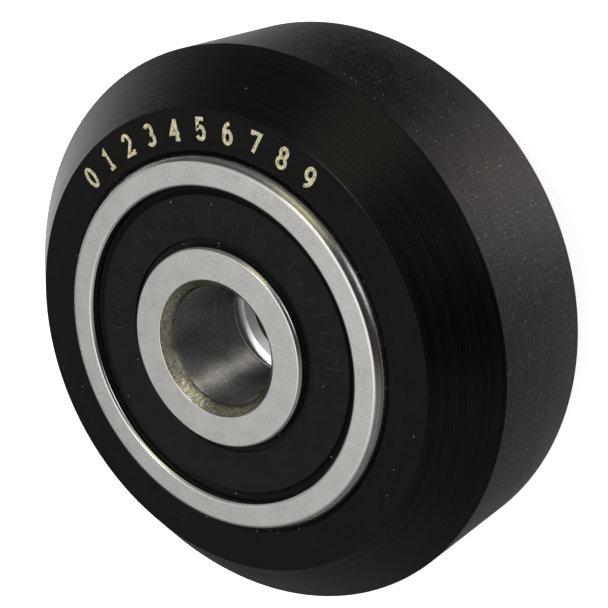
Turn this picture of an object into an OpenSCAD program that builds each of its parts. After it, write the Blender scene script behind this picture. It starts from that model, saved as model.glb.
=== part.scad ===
// V wheel for a slotted rail. An acetal wheel with a flat tread between two bevels turns on two sealed
// deep groove ball bearings. The bearings are pressed in from both faces against a lip inside the wheel,
// and a spacer shim keeps their inner rings as far apart as the lip keeps their outer rings.
// Millimetres. The wheel turns about Z, and the origin is the centre of the wheel.
// "front" is the +Z bearing and "rear" the -Z one. "outboard" is the side of a bearing that faces out.

/* [Wheel] */
// Diameter of the flat tread
tread_d = 23.89; // [22:0.01:40]
// Width from face to face
wheel_w = 10.23; // [9:0.01:13]
// Width of the flat tread between the two bevels
tread_w = 5.89; // [5:0.01:8]
// Angle of each bevel from the tread, in degrees
bevel_angle = 45; // [30:1:50]
// Radius on the edges of the tread and of the faces
wheel_edge_r = 0.08; // [0.02:0.01:0.2]
// Chamfer at the mouth of each bearing seat
seat_chamfer = 0.12; // [0.05:0.01:0.25]
// Bore of the lip between the two bearings
lip_bore = 14.4; // [14:0.1:15.2]
// Radial play of a bearing in its seat, where 0 is a push fit
seat_play = 0; // [0:0.005:0.02]

/* [Spacer] */
// Distance between the bearings, which the lip and the spacer both fill
bearing_gap = 1; // [0.6:0.1:2]
// Outer diameter of the spacer
spacer_d = 10; // [7:0.1:12]
// Radius on the edges of the spacer
spacer_edge_r = 0.1; // [0.02:0.01:0.25]

/* [Bearing] */
// Bore of a bearing
bearing_bore = 5; // [4.5:0.1:5.5]
// Outer diameter of a bearing
bearing_d = 16; // [15.5:0.1:17]
// Width of a bearing
bearing_w = 5; // [4.6:0.1:6]
// Chamfer on the outer edges of the outer ring
outer_chamfer = 0.3; // [0.1:0.05:0.4]
// Chamfer on the edges of the bore
bore_chamfer = 0.4; // [0.1:0.05:0.5]
// Chamfer on the outer edges of the inner ring
shoulder_chamfer = 0.14; // [0.1:0.01:0.25]
// Radius that blends each of these chamfers into its round wall
chamfer_blend = 0.2; // [0.05:0.01:0.25]
// Depth of each raceway below its shoulders
race_depth = 0.45; // [0.35:0.01:0.6]
// Radius of a raceway's section as a share of the ball's diameter
race_conformity = 0.52; // [0.51:0.005:0.54]
// Play between a ball and each raceway
race_play = 0.03; // [0.02:0.005:0.05]

/* [Balls] */
// Diameter of a ball
ball_d = 2.778; // [2.4:0.001:2.9]
// Number of balls in each bearing
ball_count = 7; // [5:1:8]

/* [Cage] */
// Thickness of the cage's pressed sheet
cage_t = 0.22; // [0.15:0.01:0.25]
// Radial width of the cage
cage_w = 1.3; // [1:0.05:1.35]
// Play between a ball and its pocket
pocket_play = 0.06; // [0.03:0.01:0.1]
// Diameter of a rivet's shank
rivet_d = 0.4; // [0.3:0.05:0.5]
// Diameter of a rivet's head
rivet_head_d = 0.68; // [0.6:0.02:0.7]
// Height of a rivet's head
rivet_head_h = 0.14; // [0.1:0.01:0.2]

/* [Seals] */
// Thickness of a seal's flat part
seal_t = 0.36; // [0.25:0.01:0.4]
// Gap between the cage and the seal
seal_to_cage = 0.11; // [0.05:0.01:0.2]
// Thickness of the bead that snaps into the outer ring
bead_t = 0.34; // [0.25:0.01:0.36]
// How far the bead reaches behind the flat part
bead_set_back = 0.08; // [0.04:0.01:0.12]
// Wall of the outer ring at its mouth
mouth_wall = 1.3; // [1.2:0.01:1.4]
// Depth of the groove that holds the bead
bead_groove = 0.3; // [0.2:0.01:0.4]
// Play between the bead and its groove
bead_play = 0.03; // [0.01:0.01:0.06]
// Chamfer at the mouth of the outer ring
mouth_chamfer = 0.08; // [0.03:0.01:0.12]
// Width of the raised ridge round the outside of a seal
ridge_w = 0.14; // [0.1:0.01:0.2]
// Width of the channel between the ridge and the flat part
channel_w = 0.22; // [0.15:0.01:0.3]
// Depth of that channel below the flat part
channel_depth = 0.15; // [0.08:0.01:0.2]
// Width of the sloping ledge that carries the lip
lip_ledge_w = 0.24; // [0.15:0.01:0.3]
// Depth of that ledge below the flat part
lip_ledge_depth = 0.13; // [0.08:0.01:0.16]
// Thickness of the sealing lip
lip_t = 0.13; // [0.08:0.01:0.16]
// Depth of the land that the lip runs in
land_depth = 0.12; // [0.05:0.01:0.2]
// Running play between the lip and its land
lip_play = 0.04; // [0.03:0.01:0.08]

/* [Hidden] */
$fn = 96;
arc_steps = 6; // straight steps in each rounded corner
small_edge_r = 0.03; // radius on the fine edges of rubber and sheet

// Radii and heights that follow from the sizes above. Heights are from a bearing's own middle.
bearing_r = bearing_d / 2;
bore_r = bearing_bore / 2;
half_w = bearing_w / 2;
bearing_z = bearing_gap / 2 + half_w;
ball_r = ball_d / 2;
pitch_r = (bore_r + bearing_r) / 2;
race_r = race_conformity * ball_d;
shoulder_r = pitch_r - ball_r - race_play + race_depth;
outer_shoulder_r = pitch_r + ball_r + race_play - race_depth;
pocket_r = ball_r + pocket_play;
cage_top = pocket_r + cage_t;
seal_back = cage_top + seal_to_cage;
seal_front = seal_back + seal_t;
bead_back = seal_back - bead_set_back;
bead_front = bead_back + bead_t;
mouth_r = bearing_r - mouth_wall;
groove_r = mouth_r + bead_groove;
land_r = shoulder_r - land_depth;
lip_r = land_r + lip_play;
lip_front = seal_front - lip_ledge_depth - lip_play;
bevel_w = (wheel_w - tread_w) / 2;
face_r = tread_d / 2 - bevel_w * tan(bevel_angle);

BEARINGS = [["front", 1], ["rear", -1]];

// The points of a corner rounded to its third value, between the corners before and after it.
function rounded_corner(before, at, after) =
    let (
        p = [at[0], at[1]],
        u = [before[0], before[1]] - p,
        v = [after[0], after[1]] - p,
        to_before = u / norm(u),
        to_after = v / norm(v),
        half_angle = acos(to_before * to_after) / 2,
        start = p + to_before * at[2] / tan(half_angle),
        inward = to_before + to_after,
        centre = p + inward / norm(inward) * at[2] / sin(half_angle),
        side = sign(to_before[1] * to_after[0] - to_before[0] * to_after[1]),
        arm = start - centre,
        turn = side * (180 - 2 * half_angle)
    )
    [for (k = [0:arc_steps]) let (a = turn * k / arc_steps)
        centre + [arm[0] * cos(a) - arm[1] * sin(a), arm[0] * sin(a) + arm[1] * cos(a)]];

// A section's outline. Each corner is [radius from the axis, height, corner radius].
function outline(corners) =
    let (n = len(corners))
    [for (i = [0:n - 1]) each
        corners[i][2] > 0
            ? rounded_corner(corners[(i + n - 1) % n], corners[i], corners[(i + 1) % n])
            : [[corners[i][0], corners[i][1]]]];

// A section given for its upper half only, completed by its mirror image below.
function both_halves(corners) =
    let (n = len(corners))
    concat(corners, [for (i = [n - 1:-1:0]) [corners[i][0], -corners[i][1], corners[i][2]]]);

module turned(corners) rotate_extrude() polygon(outline(corners));

// The round groove that the balls run in, as a solid to cut away.
module raceway(bottom_r, towards_axis)
    rotate_extrude() translate([bottom_r + (towards_axis ? race_r : -race_r), 0]) circle(race_r);

module place_bearing(side) translate([0, 0, side * bearing_z]) children();

// Turns a part that is drawn facing +Z to face the side given.
module facing(side) mirror([0, 0, side > 0 ? 0 : 1]) children();

module at_ball(i) rotate([0, 0, 360 / ball_count * (i - 1)]) translate([pitch_r, 0, 0]) children();

module at_rivet(i) rotate([0, 0, 360 / ball_count * (i - 0.5)]) translate([pitch_r, 0, 0]) children();

module wheel()
    color([0.09, 0.09, 0.1])
    turned(both_halves([
        [lip_bore / 2, bearing_gap / 2, wheel_edge_r],
        [bearing_r + seat_play, bearing_gap / 2, 0],
        [bearing_r + seat_play, wheel_w / 2 - seat_chamfer, 0],
        [bearing_r + seat_play + seat_chamfer, wheel_w / 2, 0],
        [face_r, wheel_w / 2, wheel_edge_r],
        [tread_d / 2, tread_w / 2, wheel_edge_r]
    ]));

module spacer_shim()
    color([0.78, 0.8, 0.82])
    turned(both_halves([
        [bore_r, bearing_gap / 2, spacer_edge_r],
        [spacer_d / 2, bearing_gap / 2, spacer_edge_r]
    ]));

module outer_ring()
    color([0.66, 0.65, 0.63])
    difference() {
        turned(both_halves([
            [outer_shoulder_r, bead_back, 0],
            [groove_r, bead_back, small_edge_r],
            [groove_r, bead_front + bead_play, small_edge_r],
            [mouth_r, bead_front + bead_play, 0],
            [mouth_r, half_w - mouth_chamfer, 0],
            [mouth_r + mouth_chamfer, half_w, 0],
            [bearing_r - outer_chamfer, half_w, 0],
            [bearing_r, half_w - outer_chamfer, chamfer_blend]
        ]));
        raceway(pitch_r + ball_r + race_play, false);
    }

module inner_ring()
    color([0.66, 0.65, 0.63])
    difference() {
        turned(both_halves([
            [bore_r, half_w - bore_chamfer, chamfer_blend],
            [bore_r + bore_chamfer, half_w, 0],
            [shoulder_r - shoulder_chamfer, half_w, 0],
            [shoulder_r, half_w - shoulder_chamfer, chamfer_blend],
            [shoulder_r, lip_front + lip_play, 0],
            [land_r, lip_front, 0],
            [land_r, lip_front - lip_t - lip_play, 0],
            [shoulder_r, lip_front - lip_t - lip_play - land_depth, 0]
        ]));
        raceway(pitch_r - ball_r - race_play, true);
    }

// A rubber seal that faces +Z. Its bead snaps into the outer ring and its lip runs on the inner ring.
module seal()
    color([0.1, 0.1, 0.1])
    let (
        bead_r = groove_r - bead_play,
        ridge_r = mouth_r - bead_play,
        flat_r = ridge_r - ridge_w - channel_w,
        ledge_r = shoulder_r + lip_ledge_w
    )
    turned([
        [lip_r, lip_front - lip_t, small_edge_r],
        [lip_r, lip_front, small_edge_r],
        [ledge_r, seal_front - lip_ledge_depth, 0],
        [ledge_r + small_edge_r, seal_front, small_edge_r],
        [flat_r, seal_front, small_edge_r],
        [flat_r + channel_w / 2, seal_front - channel_depth, small_edge_r],
        [ridge_r - ridge_w, bead_front + small_edge_r, small_edge_r],
        [ridge_r, bead_front + small_edge_r, small_edge_r],
        [ridge_r, bead_front, 0],
        [bead_r, bead_front, small_edge_r],
        [bead_r, bead_back, small_edge_r],
        [flat_r + bead_set_back, bead_back, 0],
        [flat_r, seal_back, 0],
        [ledge_r, seal_back, 0]
    ]);

// One pressed half of the cage, above the balls' plane: flats that the rivets join, and a pocket for each ball.
module cage_half()
    color([0.72, 0.7, 0.66])
    difference() {
        intersection() {
            difference() {
                cylinder(r = pitch_r + cage_w / 2, h = cage_top);
                translate([0, 0, -cage_t]) cylinder(r = pitch_r - cage_w / 2, h = cage_top + 2 * cage_t);
            }
            union() {
                cylinder(r = bearing_r, h = cage_t);
                for (i = [1:ball_count]) at_ball(i) sphere(cage_top);
            }
        }
        for (i = [1:ball_count]) {
            at_ball(i) sphere(pocket_r);
            at_rivet(i) cylinder(d = rivet_d, h = 3 * cage_t, center = true);
        }
    }

module cage_rivets()
    color([0.75, 0.72, 0.66])
    for (i = [1:ball_count]) at_rivet(i)
    turned(both_halves([
        [0, cage_t + rivet_head_h, 0],
        [rivet_head_d / 2, cage_t + rivet_head_h, rivet_head_h / 2],
        [rivet_head_d / 2, cage_t, 0],
        [rivet_d / 2, cage_t, 0]
    ]));

module ball() color([0.8, 0.8, 0.82]) sphere(ball_r);

wheel();
spacer_shim();
for (b = BEARINGS) {
    place_bearing(b[1]) outer_ring();
    place_bearing(b[1]) inner_ring();
    place_bearing(b[1]) facing(b[1]) seal();
    place_bearing(b[1]) facing(-b[1]) seal();
    place_bearing(b[1]) facing(b[1]) cage_half();
    place_bearing(b[1]) facing(-b[1]) cage_half();
    place_bearing(b[1]) cage_rivets();
    for (i = [1:ball_count])
        place_bearing(b[1]) at_ball(i) ball();
}
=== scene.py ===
# %% [markdown]
# # A V wheel on two ball bearings
#
# This small wheel runs along a slotted rail, whose V fits the bevels beside its flat tread. Two sealed ball
# bearings carry it on a 5 mm bolt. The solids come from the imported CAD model, which is the frame for
# everything here: the scene only adds finer surfaces, finishes, light and a camera.
#
# Nearly every surface here was turned or ground on a machine that spins the part, so it is an outline
# swept round one axis. The lesson is about two things: how to draw such an outline so that its reflections
# look machined, and how to build the finishes of black acetal, ground steel and rubber.

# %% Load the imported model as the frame
import math

import bmesh
import bpy
from mathutils import Matrix, Vector


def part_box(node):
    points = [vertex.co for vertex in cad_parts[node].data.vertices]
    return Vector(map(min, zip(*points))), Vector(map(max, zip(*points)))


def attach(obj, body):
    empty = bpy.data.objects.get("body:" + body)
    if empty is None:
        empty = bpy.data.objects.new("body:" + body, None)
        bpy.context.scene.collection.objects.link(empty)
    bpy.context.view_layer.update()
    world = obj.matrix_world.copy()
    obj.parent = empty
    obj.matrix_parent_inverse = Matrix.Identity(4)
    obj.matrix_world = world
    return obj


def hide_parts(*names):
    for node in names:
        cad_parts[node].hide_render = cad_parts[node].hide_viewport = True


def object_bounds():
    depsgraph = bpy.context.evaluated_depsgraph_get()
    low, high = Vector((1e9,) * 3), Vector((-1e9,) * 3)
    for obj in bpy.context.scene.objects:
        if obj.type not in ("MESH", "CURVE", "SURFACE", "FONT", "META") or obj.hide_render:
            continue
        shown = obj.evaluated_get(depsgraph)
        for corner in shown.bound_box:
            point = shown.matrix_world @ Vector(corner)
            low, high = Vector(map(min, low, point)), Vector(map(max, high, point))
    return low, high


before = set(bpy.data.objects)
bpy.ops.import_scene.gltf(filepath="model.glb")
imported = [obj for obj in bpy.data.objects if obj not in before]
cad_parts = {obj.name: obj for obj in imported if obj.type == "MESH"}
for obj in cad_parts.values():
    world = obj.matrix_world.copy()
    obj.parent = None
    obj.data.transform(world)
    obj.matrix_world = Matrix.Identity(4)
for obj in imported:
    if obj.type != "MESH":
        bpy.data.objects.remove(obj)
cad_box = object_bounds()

MM = 0.001
print("CAD box, mm:", [[round(c / MM, 3) for c in corner] for corner in cad_box])

# %% [markdown]
# ## Sizes taken from the frame
#
# A scene that repeats sizes by hand drifts away from its CAD model. The main sizes below are read from the
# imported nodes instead, in millimetres: the largest and smallest radius of each ring and the height of its
# faces. Only the small steps that no box shows are written as numbers.

# %% Read the wheel and bearing sizes from the CAD nodes
def radius_range(node):
    """The smallest and largest radius of a CAD node that is turned about Z, in mm."""
    radii = [math.hypot(v.co.x, v.co.y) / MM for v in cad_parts[node].data.vertices]
    return min(radii), max(radii)


def height_range(node):
    low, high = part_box(node)
    return low.z / MM, high.z / MM


lip_r, wheel_r = radius_range("wheel")
wheel_top = height_range("wheel")[1]
bore_r, shoulder_r = radius_range("front_inner_ring")
ring_r = radius_range("front_outer_ring")[1]
bearing_low, bearing_high = height_range("front_inner_ring")
bearing_mid = (bearing_low + bearing_high) / 2
half_w = (bearing_high - bearing_low) / 2
shim_r = radius_range("spacer_shim")[1]
lip_half = height_range("spacer_shim")[1]
seal_lip_r, bead_r = radius_range("front_outboard_seal")
seal_front = height_range("front_outboard_seal")[1] - bearing_mid
ball_low, ball_high = height_range("front_ball_1")
ball_r = (ball_high - ball_low) / 2
pitch_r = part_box("front_ball_1")[1].x / MM - ball_r
print("wheel: radius %.3f, half width %.3f, lip bore %.2f" % (wheel_r, wheel_top, lip_r))
print("bearing: %.2f to %.2f, shoulder %.3f, from %.2f to %.2f" % (
    bore_r, ring_r, shoulder_r, bearing_low, bearing_high))
print("balls: radius %.3f on a circle of %.3f; seal front %.3f" % (ball_r, pitch_r, seal_front))

# %% [markdown]
# ## Camera
#
# The wheel is seen from a little above and well to one side of its axis, close enough for perspective to
# make the near rim look larger. The face's up direction is +Y and the axis points towards the viewer, so
# the camera turns about Y and then tilts about its own X.

# %% Camera at the viewing angle
VIEW_TURN = math.radians(35.68)
VIEW_TILT = math.radians(20.331)
VIEW_DISTANCE = 60.03
LOOK_AT = Vector((4.444, 2.921, bearing_high))
LENS, SENSOR = 93.19, 36
NEAREST, FURTHEST = 1, 10000

camera_turn = Matrix.Rotation(VIEW_TURN, 4, "Y") @ Matrix.Rotation(-VIEW_TILT, 4, "X")
camera_place = Matrix.Translation((LOOK_AT + camera_turn.to_3x3() @ Vector((0, 0, VIEW_DISTANCE))) * MM)
camera = bpy.data.objects.new("camera", bpy.data.cameras.new("camera"))
bpy.context.scene.collection.objects.link(camera)
camera.matrix_world = camera_place @ camera_turn
camera.data.lens = LENS
camera.data.sensor_width = SENSOR
camera.data.clip_start = NEAREST * MM
camera.data.clip_end = FURTHEST * MM
bpy.context.scene.camera = camera
bpy.context.scene.view_settings.view_transform = "Standard"
print("camera at", [round(c / MM, 2) for c in camera.matrix_world.translation], "mm")

# %% [markdown]
# ## Outlines swept round the axis
#
# A lathe makes a shape from a moving outline and a turning blank, and this code does the same. An outline
# is a list of corners, each with a radius from the axis, a height and how far the corner is rounded. Every
# edge on a real part is broken a little, and that thin rounded edge is what catches the light.
#
# Smooth shading averages the normals where a flat run meets a rounded corner, which would make flat metal
# look dented. Two extra points near the ends of each long run hold it flat, as holding edges do in a
# subdivision model.

# %% Draw an outline and sweep it
ARC_STEPS = 7
HOLD = 0.02
RING_STEPS = 256
SHARP_ANGLE = 32


def rounded_corner(before, at, after):
    """Points on the arc that rounds the corner `at`, given as (radius, height, rounding)."""
    corner = Vector(at[:2])
    to_before = (Vector(before[:2]) - corner).normalized()
    to_after = (Vector(after[:2]) - corner).normalized()
    half_angle = math.acos(max(-1, min(1, to_before.dot(to_after)))) / 2
    start = corner + to_before * at[2] / math.tan(half_angle)
    centre = corner + (to_before + to_after).normalized() * at[2] / math.sin(half_angle)
    side = 1 if to_before.y * to_after.x > to_before.x * to_after.y else -1
    turn = side * (math.pi - 2 * half_angle)
    arm = start - centre
    return [centre + Matrix.Rotation(turn * k / ARC_STEPS, 2) @ arm for k in range(ARC_STEPS + 1)]


def outline(corners):
    """All points of a closed outline, with holding points on its longer runs."""
    points = []
    for i, corner in enumerate(corners):
        if len(corner) > 2 and corner[2] > 0:
            points += rounded_corner(corners[i - 1], corner, corners[(i + 1) % len(corners)])
        else:
            points.append(Vector(corner[:2]))
    held = []
    for here, following in zip(points, points[1:] + points[:1]):
        run = following - here
        held.append(here)
        if run.length > 4 * HOLD:
            step = run.normalized() * HOLD
            held += [here + step, following - step]
    return held


def both_halves(corners, between=()):
    """The upper half of an outline, then the points between, then the mirror image of the upper half."""
    return corners + list(between) + [(c[0], -c[1], *c[2:]) for c in reversed(corners)]


def mesh_object(name, vertices, faces):
    mesh = bpy.data.meshes.new(name)
    mesh.from_pydata(vertices, [], faces)
    piece = bpy.data.objects.new(name, mesh)
    bpy.context.scene.collection.objects.link(piece)
    return piece


def sweep(name, points, around=RING_STEPS, height=0.0, flip=False):
    """A closed outline in mm swept round Z into a mesh object, turned over if flip is true."""
    sign = -1 if flip else 1
    turns = [2 * math.pi * k / around for k in range(around)]
    vertices = [(p.x * math.cos(a) * MM, p.x * math.sin(a) * MM, (height + sign * p.y) * MM)
                for a in turns for p in points]
    count = len(points)
    faces = [(k * count + i, (k + 1) % around * count + i,
              (k + 1) % around * count + (i + 1) % count, k * count + (i + 1) % count)
             for k in range(around) for i in range(count)]
    area = sum(a.x * b.y - b.x * a.y for a, b in zip(points, points[1:] + points[:1]))
    if area * sign < 0:
        faces = [face[::-1] for face in faces]
    piece = mesh_object(name, vertices, faces)
    piece.data.shade_smooth()
    piece.data.set_sharp_from_angle(angle=math.radians(SHARP_ANGLE))
    return piece


def finish_by_zone(piece, materials, zone):
    """Gives each face the material that zone(radius, height, lean, outward) picks.

    lean and outward are the shares of the face's normal along the axis and away from it."""
    for material in materials:
        piece.data.materials.append(material)
    for face in piece.data.polygons:
        middle = face.center / MM
        radius = math.hypot(middle.x, middle.y)
        outward = (face.normal.x * middle.x + face.normal.y * middle.y) / radius
        face.material_index = zone(radius, middle.z, face.normal.z, outward)
    return piece


print("each rounded corner takes", ARC_STEPS, "steps, and a whole turn", RING_STEPS)

# %% [markdown]
# ## Effects shared by the finishes
#
# Four effects appear on several materials, so each is built once as a node group. **Lathe lines** are the
# fine rings that a cutting tool leaves: a noise read by radius and height only, so it runs round the axis.
# ** Fine grain** is the mottle of a satin surface. **Specks** are the tiny pale burrs and dust that a close
# view of machined plastic and steel always shows; where they crowd on a seat's mouth and on a seal's lip
# and bars, they are painted glints. **Scratches** are short straight marks from handling and grinding.
#
# Each group puts out a plain value, and a material makes colour, roughness or height of it.

# %% A helper that builds node trees
def node_adder(tree):
    """Returns add(kind, inputs, **settings), which makes a shader node and links or sets its inputs."""
    def add(kind, inputs=None, **settings):
        node = tree.nodes.new("ShaderNode" + kind)
        for key, value in settings.items():
            setattr(node, key, value)
        for key, value in (inputs or {}).items():
            if isinstance(value, bpy.types.NodeSocket):
                tree.links.new(value, node.inputs[key])
            else:
                node.inputs[key].default_value = value
        return node
    return add


def new_group(name, inputs, outputs):
    """An empty node group with float inputs {name: default} and float outputs."""
    group = bpy.data.node_groups.new(name, "ShaderNodeTree")
    for label, default in inputs.items():
        socket = group.interface.new_socket(label, in_out="INPUT", socket_type="NodeSocketFloat")
        socket.default_value = default
    for label in outputs:
        group.interface.new_socket(label, in_out="OUTPUT", socket_type="NodeSocketFloat")
    given, out = group.nodes.new("NodeGroupInput").outputs, group.nodes.new("NodeGroupOutput")
    return group, node_adder(group), given, out


def add_link(source, target):
    target.id_data.links.new(source, target)


def maths(add, operation, first, second=None, third=None):
    inputs = {0: first}
    if second is not None:
        inputs[1] = second
    if third is not None:
        inputs[2] = third
    return add("Math", inputs, operation=operation).outputs[0]


def times(add, first, second):
    return maths(add, "MULTIPLY", first, second)


def blend(add, first, second, share):
    """The first value with so much of the second mixed in."""
    return maths(add, "ADD", times(add, first, 1 - share), times(add, second, share))


def remap(add, value, low, high, to_low=0.0, to_high=1.0):
    """Value from low..high to to_low..to_high, clamped."""
    return add("MapRange", {"Value": value, "From Min": low, "From Max": high,
                            "To Min": to_low, "To Max": to_high}).outputs["Result"]


# %% Lathe lines
def build_lathe_lines():
    group, add, given, out = new_group(
        "lathe lines", {"Lines per mm": 20.0, "Drift": 0.05}, ["Fine", "Broad"])
    place = add("TexCoord").outputs["Object"]
    split = add("SeparateXYZ", {0: place}).outputs
    radius = maths(add, "SQRT", maths(add, "ADD", times(add, split["X"], split["X"]),
                                      times(add, split["Y"], split["Y"])))
    for label, share, detail in [("Fine", 1.0, 2.0), ("Broad", 0.16, 3.0)]:
        scale = times(add, given["Lines per mm"], share / MM)
        drift = times(add, given["Drift"], 1 / MM)
        along = add("CombineXYZ", {
            "X": times(add, radius, scale),
            "Y": times(add, split["Z"], scale),
            "Z": times(add, split["X"], drift)}).outputs[0]
        noise = add("TexNoise", {
            "Vector": along, "W": times(add, split["Y"], drift),
            "Scale": 1.0, "Detail": detail, "Roughness": 0.6}, noise_dimensions="4D")
        add_link(noise.outputs[0], out.inputs[label])
    return group


lathe_lines = build_lathe_lines()


# %% Fine grain
def build_fine_grain():
    group, add, given, out = new_group("fine grain", {"Size mm": 0.1, "Contrast": 1.0}, ["Grain", "Cloud"])
    place = add("TexCoord").outputs["Object"]
    for label, share, detail in [("Grain", 1.0, 3.0), ("Cloud", 0.07, 4.0)]:
        noise = add("TexNoise", {
            "Vector": place, "Detail": detail, "Roughness": 0.65,
            "Scale": maths(add, "DIVIDE", share / MM, given["Size mm"])})
        spread = times(add, maths(add, "SUBTRACT", noise.outputs[0], 0.5), given["Contrast"])
        add_link(maths(add, "ADD", spread, 0.5), out.inputs[label])
    return group


fine_grain = build_fine_grain()


# %% Specks
# The mask marks dust, and on the burr and seal materials it also places painted glints.
def build_specks():
    group, add, given, out = new_group(
        "specks", {"Spacing mm": 0.4, "Size": 0.12, "Share": 0.3}, ["Mask"])
    place = add("TexCoord").outputs["Object"]
    cells = add("TexVoronoi", {
        "Vector": place, "Scale": maths(add, "DIVIDE", 1 / MM, given["Spacing mm"]), "Randomness": 1.0})
    pick = add("SeparateColor", {0: cells.outputs["Color"]}).outputs
    chosen = maths(add, "LESS_THAN", pick[0], given["Share"])
    size = times(add, given["Size"], maths(add, "MULTIPLY_ADD", pick[1], 0.8, 0.35))
    edge = remap(add, cells.outputs["Distance"], size, times(add, size, 0.5))
    bright = maths(add, "MULTIPLY_ADD", pick[2], 0.7, 0.3)
    add_link(times(add, times(add, edge, chosen), bright), out.inputs["Mask"])
    return group


specks = build_specks()


# %% Scratches
def build_scratches():
    group, add, given, out = new_group(
        "scratches", {"Length mm": 0.9, "Width mm": 0.02, "Share": 0.2}, ["Mask"])
    place = add("TexCoord").outputs["Object"]
    total = None
    for turn in (0.4, 1.45, 2.6):
        turned = add("VectorRotate", {"Vector": place, "Angle": turn},
                     rotation_type="Z_AXIS").outputs[0]
        split = add("SeparateXYZ", {0: turned}).outputs
        stretched = add("CombineXYZ", {
            "X": maths(add, "DIVIDE", maths(add, "DIVIDE", split["X"], MM), given["Length mm"]),
            "Y": maths(add, "DIVIDE", maths(add, "DIVIDE", split["Y"], MM), given["Width mm"]),
            "Z": turn}).outputs[0]
        cells = add("TexVoronoi", {"Vector": stretched, "Scale": 0.12, "Randomness": 1.0})
        pick = add("SeparateColor", {0: cells.outputs["Color"]}).outputs
        line = remap(add, cells.outputs["Distance"], 0.16, 0.05)
        mark = times(add, line, maths(add, "LESS_THAN", pick[0], given["Share"]))
        total = mark if total is None else maths(add, "MAXIMUM", total, mark)
    add_link(total, out.inputs["Mask"])
    return group


scratches = build_scratches()
print("node groups:", [g.name for g in bpy.data.node_groups])

# %% [markdown]
# ## Black acetal
#
# The wheel is turned from black acetal, a slippery engineering plastic. Its colour is nearly pure black, so
# what the eye sees is almost only sheen: bright where the surface turns away from the viewer, deep black
# where it faces them. A tool leaves each surface different, so the faces, the bevels and the tread are
# separate materials made by one function. A fourth one, for the mouth of each bearing seat, has more pale
# specks: painted glints on its small burrs. The fine lines scatter part of the sheen, so the surface
# reflects less than smooth plastic would: the specular level is well below one half.

# %% Helpers for the materials
def new_material(name):
    material = bpy.data.materials.new(name)
    material.use_nodes = True
    return material, node_adder(material.node_tree), material.node_tree.nodes["Principled BSDF"]


def use_group(add, group, **values):
    node = add("Group", node_tree=group)
    for key, value in values.items():
        node.inputs[key.replace("_", " ")].default_value = value
    return node.outputs


def mix_colour(add, share, first, second):
    node = add("Mix", {"Factor": share}, data_type="RGBA")
    for socket, colour in ((node.inputs[6], first), (node.inputs[7], second)):
        if isinstance(colour, bpy.types.NodeSocket):
            add_link(colour, socket)
        else:
            socket.default_value = (*colour, 1)
    return node.outputs[2]


def set_values(shader, values):
    for key, value in values.items():
        shader.inputs[key].default_value = value


def surface(add, shader, colour, roughness, height):
    """Gives the shader its colour, its roughness and a relief of so many metres."""
    bump = add("Bump", {"Height": height, "Strength": 1.0, "Distance": 1.0})
    for socket, value in (("Base Color", colour), ("Roughness", roughness), ("Normal", bump.outputs[0])):
        add_link(value, shader.inputs[socket])


def run_lines_round(add, shader, anisotropy):
    """Spreads reflections across the tool's lines, which run round the axis."""
    if anisotropy:
        set_values(shader, {"Anisotropic": anisotropy, "Anisotropic Rotation": 0.25})
        tangent = add("Tangent", direction_type="RADIAL", axis="Z")
        add_link(tangent.outputs[0], shader.inputs["Tangent"])


print("helpers for the finishes are ready")

# %% Acetal materials
# Pale colour of the specks: dust, and at the mouth of each seat painted glints.
ACETAL_DUST_AND_GLINT = (0.55, 0.52, 0.47)
ACETAL_SPREAD = 0.16
CLOUD_SHARE = 0.4


def acetal(name, dark, light, roughness, specular, line_height, lines_per_mm, speck_share, anisotropy=0.0,
           grain_height=0.0, grain_contrast=2.2, speck_spacing=0.28, speck_size=0.2, streaks=0.0):
    """Turned black acetal. dark and light are the ends of its colour; heights are in mm.

    streaks is the share of its colour that follows the lathe lines."""
    material, add, shader = new_material(name)
    lines = use_group(add, lathe_lines, Lines_per_mm=lines_per_mm, Drift=0.03)
    grain = use_group(add, fine_grain, Size_mm=0.07, Contrast=grain_contrast)
    dust_and_glints = use_group(add, specks, Spacing_mm=speck_spacing, Size=speck_size, Share=speck_share)
    wander = times(add, lines["Fine"], blend(add, grain["Grain"], grain["Cloud"], CLOUD_SHARE))
    if streaks:
        wander = blend(add, wander, remap(add, lines["Fine"], 0.38, 0.66), streaks)
    body = mix_colour(add, wander, dark, light)
    # Pale specks: dust, and painted glints where they crowd.
    colour = mix_colour(add, dust_and_glints["Mask"], body, ACETAL_DUST_AND_GLINT)
    height = maths(add, "ADD", times(add, lines["Fine"], line_height * MM),
                   times(add, grain["Grain"], grain_height * MM))
    rough = maths(add, "MULTIPLY_ADD", lines["Broad"], ACETAL_SPREAD, roughness - ACETAL_SPREAD / 2)
    surface(add, shader, colour, rough, height)
    set_values(shader, {"IOR": 1.48, "Specular IOR Level": specular})
    run_lines_round(add, shader, anisotropy)
    return material


acetal_face = acetal(
    "acetal_face", (0.0015, 0.0015, 0.0015), (0.0105, 0.01, 0.0095), roughness=0.5, specular=0.08,
    line_height=0.0006, lines_per_mm=14, speck_share=0.05, grain_height=0.0012, speck_size=0.13)
acetal_bevel = acetal(
    "acetal_bevel", (0.0002, 0.0002, 0.0003), (0.0032, 0.0033, 0.0038), roughness=0.26, specular=0.12,
    line_height=0.012, lines_per_mm=13, speck_share=0.008, anisotropy=0.55, streaks=0.7)
acetal_tread = acetal(
    "acetal_tread", (0.0002, 0.0008, 0.0028), (0.027, 0.0225, 0.0195), roughness=0.42, specular=0.15,
    line_height=0.0008, lines_per_mm=12, speck_share=0.4, grain_height=0.01, grain_contrast=4.5,
    speck_spacing=0.11, speck_size=0.24)
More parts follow.
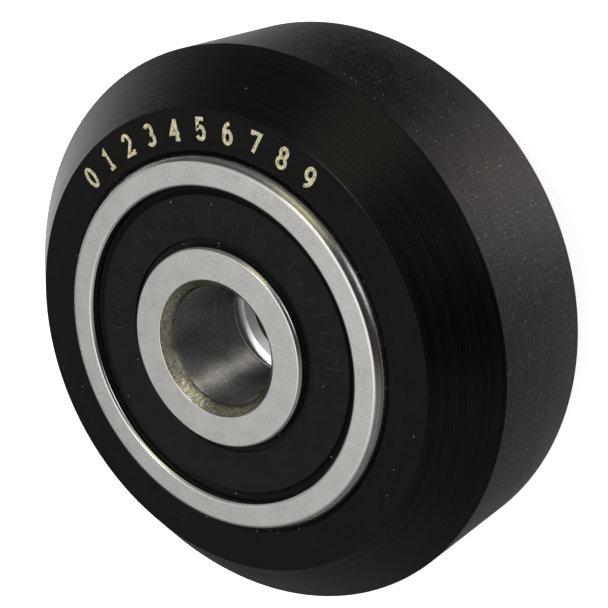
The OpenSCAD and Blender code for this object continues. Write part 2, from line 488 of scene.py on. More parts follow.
# Painted glints: many pale specks on the small burrs at the mouth of each seat.
acetal_burr_glints = acetal(
    "acetal_burr_glints", (0.001, 0.001, 0.001), (0.006, 0.006, 0.006), roughness=0.4, specular=0.2,
    line_height=0.001, lines_per_mm=10, speck_share=0.5, speck_spacing=0.2)
print("acetal:", [m.name for m in bpy.data.materials if m.name.startswith("acetal")])

# %% [markdown]
# ## Bearing steel
#
# The flat faces of both rings are ground, which leaves an even satin mottle with a few short scratches. The
# small edges are polished bright, the chamfers keep fine turned lines, and the honed bore spreads a
# reflection across its lines into a long streak. One function makes all these metals, those of the cages,
# the balls and the plated shim included. They differ only in colour, roughness and the height of marks.

# %% One function for every metal
SCRATCH_SHADE = 0.45
SCRATCH_DEPTH = 0.002
METAL_SPREAD = 0.12


def metal(name, colour, shade, roughness, grain_mm, grain_height, scratch_share=0.0, lines_height=0.0,
          lines_per_mm=16, cloud=0.5, contrast=1.5, anisotropy=0.0, metallic=1.0, streaks=0.0):
    """A metal whose colour wanders between colour and shade, with heights in mm.

    streaks is the share of that wandering which follows the lathe lines."""
    material, add, shader = new_material(name)
    grain = use_group(add, fine_grain, Size_mm=grain_mm, Contrast=contrast)
    wander = blend(add, grain["Grain"], grain["Cloud"], cloud)
    height = times(add, grain["Grain"], grain_height * MM)
    if lines_height:
        lines = use_group(add, lathe_lines, Lines_per_mm=lines_per_mm, Drift=0.06)
        height = maths(add, "ADD", height, times(add, lines["Fine"], lines_height * MM))
        wander = blend(add, wander, remap(add, lines["Fine"], 0.35, 0.65), streaks)
    body = mix_colour(add, wander, shade, colour)
    if scratch_share:
        marks = use_group(add, scratches, Length_mm=0.22, Width_mm=0.025, Share=scratch_share)
        body = mix_colour(add, times(add, marks["Mask"], SCRATCH_SHADE), body,
                          [c * SCRATCH_SHADE for c in shade])
        height = maths(add, "SUBTRACT", height, times(add, marks["Mask"], SCRATCH_DEPTH * MM))
    rough = maths(add, "MULTIPLY_ADD", grain["Cloud"], METAL_SPREAD, roughness - METAL_SPREAD / 2)
    surface(add, shader, body, rough, height)
    set_values(shader, {"Metallic": metallic})
    run_lines_round(add, shader, anisotropy)
    return material


# %% Steel, cage and spacer materials
steel_ground = metal(
    "steel_ground", (0.61, 0.595, 0.57), (0.37, 0.36, 0.345), roughness=0.42, grain_mm=0.06,
    grain_height=0.006, scratch_share=0.1, contrast=1.9, cloud=0.3)
steel_polished = metal(
    "steel_polished", (0.62, 0.6, 0.57), (0.5, 0.48, 0.45), roughness=0.13, grain_mm=0.12,
    grain_height=0.0008, lines_height=0.0004)
steel_chamfer = metal(
    "steel_chamfer", (0.5, 0.48, 0.45), (0.12, 0.116, 0.118), roughness=0.17, grain_mm=0.1,
    grain_height=0.0018, lines_height=0.0014, lines_per_mm=14, contrast=2.4, streaks=0.6)
steel_bore = metal(
    "steel_bore", (0.3, 0.275, 0.26), (0.075, 0.08, 0.084), roughness=0.5, grain_mm=0.14,
    grain_height=0.004, lines_height=0.0012, lines_per_mm=9, contrast=2.8, cloud=0.55, anisotropy=1.0,
    streaks=0.2)
steel_bore_chamfer = metal(
    "steel_bore_chamfer", (0.38, 0.35, 0.26), (0.06, 0.058, 0.05), roughness=0.28, grain_mm=0.12,
    grain_height=0.009, lines_height=0.0012, lines_per_mm=9, contrast=2.4, cloud=0.3, anisotropy=0.8)
steel_ball = metal(
    "steel_ball", (0.66, 0.66, 0.66), (0.6, 0.6, 0.6), roughness=0.08, grain_mm=0.3,
    grain_height=0.0002)
steel_cage = metal(
    "steel_cage", (0.56, 0.54, 0.5), (0.4, 0.38, 0.34), roughness=0.34, grain_mm=0.12,
    grain_height=0.002)
zinc_shim = metal(
    "zinc_shim", (0.94, 1.0, 0.99), (0.86, 0.92, 0.92), roughness=0.42, grain_mm=0.3,
    grain_height=0.001, lines_height=0.0006, metallic=0.5)
zinc_wall = metal(
    "zinc_wall", (0.98, 0.98, 0.97), (0.86, 0.9, 0.9), roughness=0.62, grain_mm=0.5,
    grain_height=0.001, lines_height=0.0006, metallic=0.6, anisotropy=0.85)
print("metals:", [m.name for m in bpy.data.materials if m.name.startswith(("steel", "zinc"))])

# %% [markdown]
# ## Seal rubber and the marks
#
# A seal is nitrile rubber, moulded in a blasted die, so it is quite matt and takes a little pale dust. Its
# lip carries many pale specks as painted glints, its moulded bars a lighter colour as a painted highlight,
# and its channel, ridge and bead a darker one as painted shade. The marks on the wheel's face are a thin
# pale gold print, a touch uneven where the plastic's grain shows through it.

# %% Rubber and print
RUBBER_DARK, RUBBER_LIGHT = (0.004, 0.0042, 0.0042), (0.0095, 0.0098, 0.0098)
# Pale colour of the specks: dust on the flat, painted glints on the lip and the bars.
RUBBER_DUST_AND_GLINT = (0.42, 0.42, 0.4)


def rubber(name, speck_share, speck_spacing=0.3, painted_brightness=1.0):
    """Moulded nitrile rubber. The last argument scales its colour: above 1 paints a highlight, below 1
    shade.
    """
    material, add, shader = new_material(name)
    grain = use_group(add, fine_grain, Size_mm=0.06, Contrast=1.5)
    dust_and_glints = use_group(add, specks, Spacing_mm=speck_spacing, Size=0.16, Share=speck_share)
    body = mix_colour(add, grain["Cloud"], [c * painted_brightness for c in RUBBER_DARK], [c * painted_brightness for c in RUBBER_LIGHT])
    # Pale specks: dust, and on the lip and the bars painted glints.
    colour = mix_colour(add, dust_and_glints["Mask"], body, RUBBER_DUST_AND_GLINT)
    surface(add, shader, colour, roughness=maths(add, "MULTIPLY_ADD", grain["Grain"], 0.2, 0.5),
            height=times(add, grain["Grain"], 0.004 * MM))
    set_values(shader, {"Specular IOR Level": 0.1})
    return material


def gold_print_material():
    material, add, shader = new_material("gold_marks")
    grain = use_group(add, fine_grain, Size_mm=0.1, Contrast=2.6)
    colour = mix_colour(add, grain["Grain"], (0.16, 0.135, 0.07), (0.88, 0.8, 0.52))
    surface(add, shader, colour, roughness=maths(add, "MULTIPLY_ADD", grain["Grain"], 0.3, 0.35),
            height=times(add, grain["Grain"], 0.003 * MM))
    set_values(shader, {"Specular IOR Level": 0.4})
    return material


seal_rubber = rubber("seal_rubber", 0.06)
# The lip's ledge has many pale specks: painted glints on its rough burrs.
seal_lip_painted_glints = rubber("seal_lip_painted_glints", 0.6, speck_spacing=0.2)
# The bars' lighter colour and many pale specks are a painted highlight on their edges.
seal_bar_painted_highlight = rubber("seal_bar_painted_highlight", 0.5, painted_brightness=2.6)
# The channel, the ridge and the bead are darkened: painted shade in the groove beside the outer ring.
seal_channel_painted_shade = rubber("seal_channel_painted_shade", 0.05, painted_brightness=0.25)
gold_marks = gold_print_material()
print("also:", seal_rubber.name, seal_lip_painted_glints.name, seal_bar_painted_highlight.name, gold_marks.name)

# %% [markdown]
# ## The wheel
#
# One piece of acetal: a flat tread, two bevels, two faces, a seat for a bearing from each side and the lip
# that the bearings are pressed against. It replaces the CAD solid with the same section, drawn with finer
# corners and far more steps round, because a 96-sided rim would show its corners against white.

# %% Sweep the wheel
TREAD_HALF = 2.945
BEVEL_DEPTH = wheel_top - TREAD_HALF
WHEEL_EDGE = 0.11
SEAT_CHAMFER = 0.12
WHEEL_STEPS = 288
SLOPED, FLAT = 0.2, 0.97    # shares of a face's normal, from a slope to a surface that counts as flat

wheel_outline = outline(both_halves([
    (lip_r, lip_half, WHEEL_EDGE),
    (ring_r, lip_half),
    (ring_r, wheel_top - SEAT_CHAMFER),
    (ring_r + SEAT_CHAMFER, wheel_top),
    (wheel_r - BEVEL_DEPTH, wheel_top, WHEEL_EDGE),
    (wheel_r, TREAD_HALF, WHEEL_EDGE),
]))


def wheel_zone(radius, height, lean, outward):
    """0 the faces and the seats, 1 the bevels, 2 the tread, 3 the mouth of a seat."""
    if ring_r < radius < ring_r + SEAT_CHAMFER and SLOPED < abs(lean) < FLAT:
        return 3
    if radius < wheel_r - BEVEL_DEPTH - WHEEL_EDGE or abs(lean) > FLAT:
        return 0
    return 2 if outward > FLAT else 1


def put_on(piece, body, node):
    """The piece stands for a CAD node and rides on its body."""
    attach(piece, body)
    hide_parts(node)
    print("%-28s %6d faces, for %s on %s" % (piece.name, len(piece.data.polygons), node, body))


wheel = finish_by_zone(sweep("wheel_turned", wheel_outline, WHEEL_STEPS),
                       [acetal_face, acetal_bevel, acetal_tread, acetal_burr_glints], wheel_zone)
put_on(wheel, "wheel_with_outer_rings", "wheel")

# %% [markdown]
# ## Bearing rings
#
# Each ring is ground flat on its two faces. The outer ring has a groove near each face, where a seal's bead
# snaps in, and a deep round raceway between them. The inner ring has a shallow land for each seal's lip.
# These small steps make the dark lines seen round a seal, so they are cut as real geometry.

# %% Sizes of the rings' small steps
CONFORMITY, RACE_PLAY, RACE_STEPS = 0.52, 0.03, 16
RACE_R = CONFORMITY * 2 * ball_r
OUTER_CHAMFER, BORE_CHAMFER, SHOULDER_CHAMFER, MOUTH_CHAMFER = 0.3, 0.43, 0.13, 0.1
OUTER_BLEND, BORE_BLEND, SHOULDER_BLEND, MOUTH_BLEND = 0.55, 0.6, 0.2, 0.12
OUTER_FACE_EDGE, BORE_FACE_EDGE, SHOULDER_FACE_EDGE = 0.2, 0.06, 0.1
GROOVE_EDGE, FINE_EDGE = 0.02, 0.03
MOUTH_WALL = 1.3
BEAD_DEPTH, BEAD_WIDTH, BEAD_PLAY = 0.1, 0.34, 0.03
LIP_DEPTH, LIP_WIDTH, LIP_PLAY = 0.17, 0.13, 0.04

mouth_r = ring_r - MOUTH_WALL
groove_r = bead_r + BEAD_PLAY
bead_front = seal_front - BEAD_DEPTH
bead_back = bead_front - BEAD_WIDTH
outer_shoulder_r = 2 * pitch_r - shoulder_r
land_r = seal_lip_r - LIP_PLAY
lip_front = seal_front - LIP_DEPTH
lip_back = lip_front - LIP_WIDTH
print("outer ring: mouth %.2f, groove %.2f, shoulder %.2f; inner ring: land %.2f" % (
    mouth_r, groove_r, outer_shoulder_r, land_r))

# %% [markdown]
# The upper half of each ring is drawn corner by corner, the lower half mirrors it, and the round raceway
# closes the outline. The raceway's radius is a little more than half the ball's diameter, as in every such
# bearing.

# %% Outlines of the rings
def raceway(shoulder, towards_axis):
    """Points on the section of a ball groove, from its upper edge to its lower one."""
    side = -1 if towards_axis else 1
    centre = pitch_r + side * (ball_r + RACE_PLAY - RACE_R)
    reach = math.acos(abs(shoulder - centre) / RACE_R)
    angles = [reach * (1 - 2 * k / RACE_STEPS) for k in range(RACE_STEPS + 1)]
    return [(centre + side * RACE_R * math.cos(a), RACE_R * math.sin(a)) for a in angles]


outer_upper = [
    (outer_shoulder_r, bead_back, GROOVE_EDGE),
    (groove_r, bead_back, FINE_EDGE),
    (groove_r, bead_front + BEAD_PLAY, FINE_EDGE),
    (mouth_r, bead_front + BEAD_PLAY),
    (mouth_r, half_w - MOUTH_CHAMFER, MOUTH_BLEND),
    (mouth_r + MOUTH_CHAMFER, half_w, MOUTH_BLEND),
    (ring_r - OUTER_CHAMFER, half_w, OUTER_FACE_EDGE),
    (ring_r, half_w - OUTER_CHAMFER, OUTER_BLEND),
]
inner_upper = [
    (bore_r, half_w - BORE_CHAMFER, BORE_BLEND),
    (bore_r + BORE_CHAMFER, half_w, BORE_FACE_EDGE),
    (shoulder_r - SHOULDER_CHAMFER, half_w, SHOULDER_FACE_EDGE),
    (shoulder_r, half_w - SHOULDER_CHAMFER, SHOULDER_BLEND),
    (shoulder_r, lip_front + LIP_PLAY),
    (land_r, lip_front),
    (land_r, lip_back - LIP_PLAY),
    (shoulder_r, lip_back - LIP_PLAY - (shoulder_r - land_r)),
]
outer_outline = outline(both_halves(outer_upper) + raceway(outer_shoulder_r, False)[::-1])
inner_outline = outline(both_halves(inner_upper, raceway(shoulder_r, True)))

print("ring outlines:", len(outer_outline), "and", len(inner_outline), "points")

# %% [markdown]
# A ring is one solid with several finishes. A face of its mesh lies on a ground face, an edge, a chamfer or
# in the bore, and its radius and slope tell which.

# %% Sweep the rings
AT_FACE = 0.001
EDGE_LEAN, CHAMFER_LEAN, BORE_LEAN = 0.74, 0.78, 0.3
TOWARDS_AXIS = 0.5


def ring_zone(radius, height, lean, outward):
    """0 faces, 1 edges and raceways, 2 the bore's chamfer, 3 the bore, 4 the other chamfers."""
    if min(abs(abs(height) - bearing_high), abs(abs(height) - bearing_low)) < AT_FACE:
        return 0
    if radius < bore_r + BORE_CHAMFER and outward < TOWARDS_AXIS:
        if abs(lean) > EDGE_LEAN:
            return 1
        return 2 if abs(lean) > BORE_LEAN else 3
    at_shoulder = shoulder_r - SHOULDER_CHAMFER < radius < shoulder_r + AT_FACE
    return 4 if (radius > ring_r - OUTER_CHAMFER or at_shoulder) and abs(lean) < CHAMFER_LEAN else 1


ring_finishes = [steel_ground, steel_polished, steel_bore_chamfer, steel_bore, steel_chamfer]
for side, middle in (("front", bearing_mid), ("rear", -bearing_mid)):
    for part, section, body in (("outer_ring", outer_outline, "wheel_with_outer_rings"),
                                ("inner_ring", inner_outline, "hub")):
        ring = sweep(f"{side}_{part}_turned", section, height=middle)
        finish_by_zone(ring, ring_finishes, ring_zone)
        put_on(ring, body, f"{side}_{part}")

# %% [markdown]
# ## Seals
#
# A rubber seal snaps into the outer ring by a bead. From outside one sees a thin ridge next to the steel, a
# narrow channel, the flat face, and a sloping ledge that carries the lip. The lip rests on a land of the
# inner ring, and the gap beside it shows as a fine black line.

# %% Sweep the outboard seals
RIDGE_WIDTH, CHANNEL_WIDTH, CHANNEL_DEPTH = 0.14, 0.22, 0.15
LEDGE_WIDTH, LEDGE_DEPTH = 0.24, 0.13
SEAL_THICKNESS, BACK_STEP = 0.36, 0.08
ridge_r = mouth_r - BEAD_PLAY
flat_r = ridge_r - RIDGE_WIDTH - CHANNEL_WIDTH
ledge_r = shoulder_r + LEDGE_WIDTH
seal_back = seal_front - SEAL_THICKNESS
seal_outline = outline([
    (seal_lip_r, lip_back, FINE_EDGE),
    (seal_lip_r, lip_front, FINE_EDGE),
    (ledge_r, seal_front - LEDGE_DEPTH),
    (ledge_r + FINE_EDGE, seal_front, FINE_EDGE),
    (flat_r, seal_front, FINE_EDGE),
    (flat_r + CHANNEL_WIDTH / 2, seal_front - CHANNEL_DEPTH, FINE_EDGE),
    (ridge_r - RIDGE_WIDTH, bead_front + FINE_EDGE, FINE_EDGE),
    (ridge_r, bead_front + FINE_EDGE, FINE_EDGE),
    (ridge_r, bead_front),
    (bead_r, bead_front, FINE_EDGE),
    (bead_r, bead_back, FINE_EDGE),
    (flat_r + BACK_STEP, bead_back),
    (flat_r, seal_back),
    (ledge_r, seal_back),
])


def seal_zone(radius, height, lean, outward):
    """0 the seal's flat, 1 the ledge and the lip, 2 the channel, the ridge and the bead."""
    if radius < ledge_r:
        return 1
    return 2 if radius > flat_r + FINE_EDGE else 0


# The channel, ridge and bead take the rubber darkened as painted shade.
for side, middle in (("front", bearing_mid), ("rear", -bearing_mid)):
    seal = sweep(f"{side}_outboard_seal_moulded", seal_outline, height=middle, flip=side == "rear")
    finish_by_zone(seal, [seal_rubber, seal_lip_painted_glints, seal_channel_painted_shade], seal_zone)
    put_on(seal, "wheel_with_outer_rings", f"{side}_outboard_seal")

# %% [markdown]
# ## The spacer shim
#
# A thin bright-plated ring keeps the two inner rings apart. Only its bore shows, as a bright band deep in
# the hole, where light from behind the wheel reaches it. Its inner edge is rolled over, and its wall is
# duller than that edge, so the band is bright on one side and grey on the other.

# %% Sweep the shim
SHIM_EDGE, WALL_EDGE = 0.1, 0.05
ROLL_WIDTH, ROLL_DEPTH = 0.44, 0.2
FACES_AXIS = -0.9
shim_outline = outline(both_halves([
    (bore_r, lip_half - ROLL_DEPTH, WALL_EDGE),
    (bore_r + ROLL_WIDTH, lip_half, SHIM_EDGE),
    (shim_r, lip_half, SHIM_EDGE),
]))
shim = finish_by_zone(sweep("spacer_shim_turned", shim_outline), [zinc_shim, zinc_wall],
                      lambda radius, height, lean, outward: int(outward < FACES_AXIS))
put_on(shim, "hub", "spacer_shim")

# %% [markdown]
# ## Marks on the face and on the seals
#
# The face carries a plain row of the ten digits, as on a dial, printed in pale gold with their tops
# outward. A print is a real layer of ink, so each digit is a very thin plate. Drawing the strokes here, as
# centre lines with a width, needs no font file and gives every digit the same sturdy weight. The front
# seal has a ring of short moulded bars, as a seal maker uses to show the mould's position.

# %% Digits as strokes
# Each digit stands in a box from 0,0 to 1,1. A stroke is a list of points, and bend() gives those of a
# curve.
def bend(cx, cy, rx, ry, start, end, steps):
    """Points along part of an ellipse, from one angle to another in degrees."""
    return [(cx + rx * math.cos(math.radians(start + (end - start) * k / steps)),
             cy + ry * math.sin(math.radians(start + (end - start) * k / steps))) for k in range(steps + 1)]


DIGITS = {
    "0": [bend(0.5, 0.5, 0.38, 0.5, 90, 450, 28)],
    "1": [[(0.22, 0.8), (0.52, 1.0), (0.52, 0.0)], [(0.22, 0.0), (0.82, 0.0)]],
    "2": [bend(0.5, 0.7, 0.36, 0.3, 165, -38, 14) + [(0.12, 0.0), (0.88, 0.0), (0.88, 0.16)]],
    "3": [bend(0.46, 0.75, 0.34, 0.25, 150, -80, 12), bend(0.46, 0.27, 0.38, 0.27, 80, -150, 14)],
    "4": [[(0.92, 0.3), (0.08, 0.3), (0.68, 1.0)], [(0.68, 1.0), (0.68, 0.0)], [(0.46, 0.0), (0.9, 0.0)]],
    "5": [[(0.84, 1.0), (0.24, 1.0), (0.2, 0.54)] + bend(0.47, 0.31, 0.38, 0.31, 135, -150, 16)],
    "6": [bend(0.74, 0.5, 0.6, 0.5, 100, 195, 12), bend(0.5, 0.3, 0.36, 0.3, 180, 540, 24)],
    "7": [[(0.12, 0.84), (0.12, 1.0), (0.88, 1.0), (0.4, 0.0)]],
    "8": [bend(0.5, 0.76, 0.3, 0.24, -90, 270, 22), bend(0.5, 0.26, 0.37, 0.26, 90, 450, 22)],
    "9": [bend(0.26, 0.5, 0.6, 0.5, -80, 15, 12), bend(0.5, 0.7, 0.36, 0.3, 0, 360, 24)],
}
print("strokes of each digit:", {digit: len(strokes) for digit, strokes in DIGITS.items()})


# %% Turn a stroke into a band
def stroke_band(points, width):
    """The left and right edge of a stroke of even width along a line of points."""
    left, right = [], []
    for i, here in enumerate(points):
        before = points[max(i - 1, 0)]
        after = points[min(i + 1, len(points) - 1)]
        first, second = here - before, after - here
        along = (first.normalized() + second.normalized()).normalized()
        across = Vector((-along.y, along.x))
        lean = max(0.5, across.dot(Vector((-second.y, second.x)).normalized()) if second.length else 1)
        left.append(here + across * width / 2 / lean)
        right.append(here - across * width / 2 / lean)
    return left, right


def mark_piece(name, vertices, faces, material, bevel=0.0):
    """A small mesh that rides on the turning wheel, with its edges bevelled by so many mm."""
    piece = mesh_object(name, vertices, faces)
    work = bmesh.new()
    work.from_mesh(piece.data)
    if bevel:
        bmesh.ops.bevel(work, geom=work.edges[:], offset=bevel * MM, segments=2, profile=0.5, affect="EDGES")
    bmesh.ops.recalc_face_normals(work, faces=work.faces[:])
    work.to_mesh(piece.data)
    work.free()
    piece.data.materials.append(material)
    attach(piece, "wheel_with_outer_rings")
    return piece


# %% Print the digits on the face
DIGIT_FOOT = 8.56
DIGIT_HEIGHT = 0.8
DIGIT_WIDTH = 0.5
STROKE_WIDTH = 0.155
PRINT_DEPTH = 0.008
STROKE_LIFT = 0.0005    # a digit's second stroke lies this much higher, so that no two tops share a plane
FIRST_MARK, MARK_STEP = 138, -8.6


def digit_plate(name, digit, azimuth):
    """A digit on the wheel's face, its foot towards the axis, as a plate a few microns proud of it."""
    turn = math.radians(azimuth)
    outward, sideways = Vector((math.cos(turn), math.sin(turn))), Vector((math.sin(turn), -math.cos(turn)))
    vertices, faces = [], []
    for order, stroke in enumerate(DIGITS[digit]):
        points = [Vector(((x - 0.5) * DIGIT_WIDTH, y * DIGIT_HEIGHT)) for x, y in stroke]
        top, low = wheel_top + PRINT_DEPTH + order * STROKE_LIFT, wheel_top - PRINT_DEPTH
        start = len(vertices)
        for left, right in zip(*stroke_band(points, STROKE_WIDTH)):
            for point, level in ((left, top), (right, top), (right, low), (left, low)):
                flat = outward * (DIGIT_FOOT + point.y) + sideways * point.x
                vertices.append((flat.x * MM, flat.y * MM, level * MM))
        end = start + 4 * (len(points) - 1)
        for here in range(start, end, 4):
            faces += [(here + k, here + (k + 1) % 4, here + 4 + (k + 1) % 4, here + 4 + k) for k in range(4)]
        faces += [(start + 3, start + 2, start + 1, start), (end, end + 1, end + 2, end + 3)]
    return mark_piece(name, vertices, faces, gold_marks)


for k, digit in enumerate("0123456789"):
    digit_plate(f"face_mark_{digit}", digit, FIRST_MARK + k * MARK_STEP)
print("digits from %d to %.1f degrees" % (FIRST_MARK, FIRST_MARK + 9 * MARK_STEP))


# %% Moulded bars on the front seal
BAR_ROW_R, BAR_SHORT, BAR_LONG, BAR_WIDTH, BAR_HEIGHT = 5.22, 0.36, 0.66, 0.075, 0.022
BAR_SINK, BAR_EDGE = 0.02, 0.012
FIRST_BAR, BAR_STEP, BAR_COUNT, LONG_EVERY = 184, -7.5, 25, 3
BOX_FACES = [(0, 3, 2, 1), (4, 5, 6, 7), (0, 1, 5, 4), (1, 2, 6, 5), (2, 3, 7, 6), (3, 0, 4, 7)]


def bar_corners(azimuth, length):
    """The eight corners of a radial bar, sunk a little into the seal."""
    turn = math.radians(azimuth)
    outward, sideways = Vector((math.cos(turn), math.sin(turn))), Vector((-math.sin(turn), math.cos(turn)))
    seal_top = bearing_mid + seal_front
    half = BAR_WIDTH / 2
    ends = ((0, -half), (length, -half), (length, half), (0, half))
    flat = [outward * (BAR_ROW_R + along) + sideways * across for along, across in ends]
    return [(p.x * MM, p.y * MM, z * MM) for z in (seal_top - BAR_SINK, seal_top + BAR_HEIGHT) for p in flat]


vertices, faces = [], []
for k in range(BAR_COUNT):
    faces += [[len(vertices) + i for i in face] for face in BOX_FACES]
    vertices += bar_corners(FIRST_BAR + k * BAR_STEP, BAR_SHORT if k % LONG_EVERY else BAR_LONG)
# The bars take the rubber lightened as a painted highlight.
mark_piece("front_seal_bars", vertices, faces, seal_bar_painted_highlight, bevel=BAR_EDGE)
print(BAR_COUNT, "bars on the front seal")

# %% [markdown]
# ## Pieces that stay inside
#
# Balls, cages, rivets and the inner seals are right as the CAD model has them, and the seals hide them.
# They keep their CAD solids and only take a finish, so that a cutaway or an exported part still looks
# right.

# %% Finishes for the hidden nodes
for kind, finish in (("_ball_", steel_ball), ("_cage_", steel_cage), ("_inboard_seal", seal_rubber)):
    hidden = [node for name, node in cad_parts.items() if kind in name]
    for node in hidden:
        node.data.materials.clear()
        node.data.materials.append(finish)
    print(len(hidden), "nodes take", finish.name)

# %% [markdown]
# ## Floor, light and background
#
# The wheel lies on a white floor in plain soft light. A large dim softbox hangs where the ground faces
# mirror it and gives them their even grey, a small bright one high beyond the digits lights the rest, and
# the world fills the shadows. Black plastic shows little but reflections, so what stands round it matters
# more than how much light falls on it. Two painted cards draw its shape, as in a studio: they show in
# reflections only, and neither the camera nor the light on the wheel sees them.

# %% Background and floor
def seen_directly(add):
    """1 for camera rays, mirrors and glass, and 0 for light that falls on things."""
    path = add("LightPath").outputs
    return maths(add, "MAXIMUM", maths(add, "MAXIMUM", path["Is Camera Ray"], path["Is Glossy Ray"]),
                 path["Is Transmission Ray"])


WORLD_FILL = 0.4
world = bpy.data.worlds.new("studio")
bpy.context.scene.world = world
world.use_nodes = True
world.cycles.sampling_method = "NONE"
add = node_adder(world.node_tree)
sky = world.node_tree.nodes["Background"]
sky.inputs["Color"].default_value = (1, 1, 1, 1)
add_link(remap(add, seen_directly(add), 0, 1, WORLD_FILL, 1.0), sky.inputs["Strength"])


def stage_sheet(name, points, faces, material):
    sheet = mesh_object(name, [[c * MM for c in point] for point in points], faces)
    sheet.data.materials.append(material)
    return sheet


floor_z = cad_box[0].z / MM
floor_white, add, shader = new_material("floor_white")
set_values(shader, {"Base Color": (0.8, 0.8, 0.8, 1), "Roughness": 0.9, "Specular IOR Level": 0.0,
                    "Emission Color": (1, 1, 1, 1)})
add_link(remap(add, seen_directly(add), 0, 1, 0.0, 0.85), shader.inputs["Emission Strength"])
FLOOR_REACH = 3000
floor_corners = [(x * FLOOR_REACH, y * FLOOR_REACH, floor_z)
                 for x, y in ((-1, -1), (1, -1), (1, 1), (-1, 1))]
stage_sheet("floor", floor_corners, [(0, 1, 2, 3)], floor_white)
print("floor at %.2f mm, world fill %.2f" % (floor_z, WORLD_FILL))


# %% Lamps
def from_angles(azimuth, elevation, distance):
    """A point at a distance from the wheel's middle."""
    turn, rise = math.radians(azimuth), math.radians(elevation)
    level = math.cos(rise)
    return distance * Vector((level * math.cos(turn), level * math.sin(turn), math.sin(rise)))


LAMP_DISTANCE = 500


def softbox(name, azimuth, elevation, size, radiance):
    """A square area lamp, its side in metres, that faces the wheel. Its power follows from its radiance."""
    lamp = bpy.data.lights.new(name, "AREA")
    lamp.shape = "SQUARE"
    lamp.size = size
    lamp.energy = radiance * math.pi * size ** 2
    holder = bpy.data.objects.new(name, lamp)
    bpy.context.scene.collection.objects.link(holder)
    holder.location = from_angles(azimuth, elevation, LAMP_DISTANCE * MM)
    holder.rotation_euler = (-holder.location).to_track_quat("-Z", "Y").to_euler()
    return holder


softbox("overhead_softbox", azimuth=-147, elevation=62, size=0.35, radiance=0.6)
softbox("key_softbox", azimuth=91, elevation=62, size=0.1, radiance=40)

# %% [markdown]
# The tent is a dome round the wheel, and the second card lies on the floor. Each is a grid of points with
# a brightness painted on it, dark where a surface has to look black and bright where it has to shine. A
# warm or rosy tint at a few places stands for coloured things in the room.

# %% Cards with painted brightness
def shade_material():
    """Shows the brightness painted on each point of a card, and lights nothing."""
    material = bpy.data.materials.new("shaded_card")
    material.use_nodes = True
    material.cycles.emission_sampling = "NONE"
    tree = material.node_tree
    tree.nodes.remove(tree.nodes["Principled BSDF"])
    add = node_adder(tree)
    painted = add("Attribute", attribute_name="shade")
    glow = add("Emission", {"Color": painted.outputs["Color"], "Strength": 1.0})
    add_link(glow.outputs[0], tree.nodes["Material Output"].inputs["Surface"])
    return material


def between_keys(keys, at):
    """A smooth value between the keys of a table {position: value}."""
    places = sorted(keys)
    if at <= places[0]:
        return keys[places[0]]
    for low, high in zip(places, places[1:]):
        if at <= high:
            share = (at - low) / (high - low)
            share = share * share * (3 - 2 * share)
            return keys[low] + (keys[high] - keys[low]) * share
    return keys[places[-1]]


def shaded_card(name, columns, rows, place, shade):
    """A grid of points with a brightness painted on each, seen in reflections only."""
    points = [place(c, r) for c in columns for r in rows]
    count = len(rows)
    faces = [(i * count + j, (i + 1) * count + j, (i + 1) * count + j + 1, i * count + j + 1)
             for i in range(len(columns) - 1) for j in range(count - 1)]
    sheet = stage_sheet(name, points, faces, card_shades)
    for ray in ("camera", "diffuse", "shadow", "transmission", "volume_scatter"):
        setattr(sheet, "visible_" + ray, False)
    paint = sheet.data.color_attributes.new("shade", "FLOAT_COLOR", "POINT")
    for i, (column, row) in enumerate((c, r) for c in columns for r in rows):
        paint.data[i].color = (*shade(column, row), 1)
    return sheet


card_shades = shade_material()
print("card material:", card_shades.name)


# %% The tent round the wheel
def peak(at, middle, reach):
    """1 at the middle, falling evenly to 0 at the reach on each side."""
    return max(0.0, 1 - abs(at - middle) / reach)


# Brightness of the tent by its height above the horizon and its azimuth, both in degrees.
TENT = {
    0: {-180: 0.6, -160: 0.45, -140: 0.35, -110: 0.12, -87: 0.28, -69: 0.42, -50: 0.4, -20: 0.25, 30: 0.15,
        60: 0.4, 85: 0.55, 110: 0.4, 146: 0.2, 162: 0.45, 180: 0.6},
    30: {-180: 0.4, -147: 0.25, -110: 0.35, -70: 0.5, -45: 0.55, -26: 0.45, 0: 0.12, 28: 0.12, 48: 0.25,
         62: 0.7, 72: 1.45, 90: 1.45, 99: 0.5, 110: 0.4, 130: 0.3, 155: 0.8, 180: 0.6},
    50: {-180: 0.8, -147: 0.95, -110: 0.9, -60: 0.9, -20: 0.4, 0: 0.15, 33: 0.1, 62: 0.5, 72: 1.2, 90: 1.2,
         100: 0.6, 140: 0.7, 180: 0.8},
    75: {-180: 1.5, 180: 1.5},
}
EDGE_GLINT = 5.0    # a small bright spot that the rings' outer edges mirror


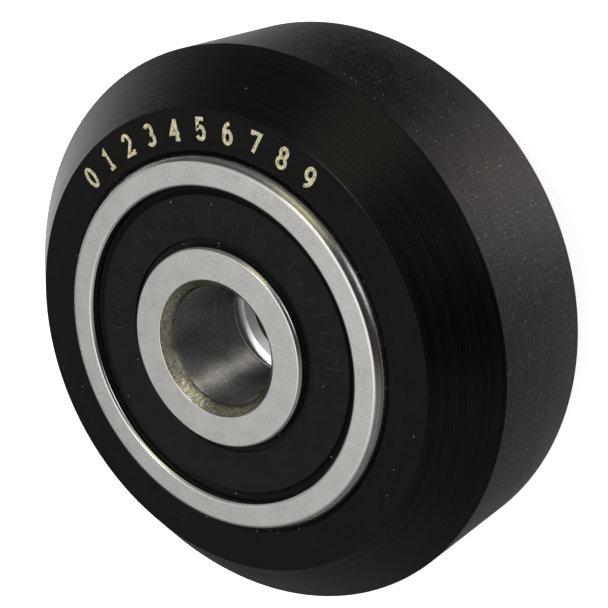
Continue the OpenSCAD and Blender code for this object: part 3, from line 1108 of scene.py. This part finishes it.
def tent_shade(azimuth, elevation):
    value = between_keys({rise: between_keys(TENT[rise], azimuth) for rise in TENT}, elevation)
    value += EDGE_GLINT * peak(azimuth, 32, 22) * peak(elevation, 12, 12)
    gold = peak(azimuth, 78, 30) * peak(elevation, 32, 40)
    rose = peak(azimuth, -4, 16) * peak(elevation, 36, 20)
    return value, value * (1 - 0.04 * gold - 0.42 * rose), value * (1 - 0.5 * gold - 0.45 * rose)


TENT_DISTANCE = 400
all_round = [-180 + 4 * k for k in range(91)]
all_heights = [3 * k for k in range(31)]
tent = shaded_card("tent", all_round, all_heights,
                   lambda azimuth, rise: from_angles(azimuth, rise, TENT_DISTANCE), tent_shade)
print("tent:", len(tent.data.vertices), "points")

# %% The floor near the wheel
# Brightness of the floor in reflections, by azimuth, at two distances from the axis.
NEAR_R, FAR_R = 18, 24
FLOOR_NEAR = {-180: 1.2, -167: 0.75, -150: 0.6, -108: 0.42, -77: 0.42, -44: 0.36, -9: 0.5, 12: 0.65, 26: 2.0,
              38: 2.9, 48: 1.5, 62: 0.14, 72: 0.04, 86: 0.03, 97: 0.14, 108: 0.45, 126: 1.3, 150: 1.2,
              180: 1.2}
FLOOR_FAR = {-180: 1.25, -150: 0.95, -140: 0.5, -132: 0.16, -116: 0.12, -102: 0.2, -87: 0.3, -60: 0.35,
             0: 0.4, 60: 0.5, 100: 0.5, 150: 1.0, 165: 1.2, 180: 1.25}
FLOOR_LIFT = 0.02    # keeps the card just above the floor


def floor_shade(azimuth, radius):
    near, far = between_keys(FLOOR_NEAR, azimuth), between_keys(FLOOR_FAR, azimuth)
    value = between_keys({NEAR_R: near, FAR_R: far}, radius)
    rose, blue = peak(azimuth, 42, 14), peak(azimuth, 14, 18)
    return (value * (1 - 0.2 * blue), value * (1 - 0.3 * rose - 0.15 * blue),
            value * (1 - 0.34 * rose + 0.06 * blue))


def on_floor(azimuth, radius):
    turn = math.radians(azimuth)
    return radius * math.cos(turn), radius * math.sin(turn), floor_z + FLOOR_LIFT


floor_rings = [12.4, 14, 16, 18, 20, 22, 24, 60, 390]
floor_card = shaded_card("floor_reflection", all_round, floor_rings, on_floor, floor_shade)
print("floor card:", len(floor_card.data.vertices), "points")
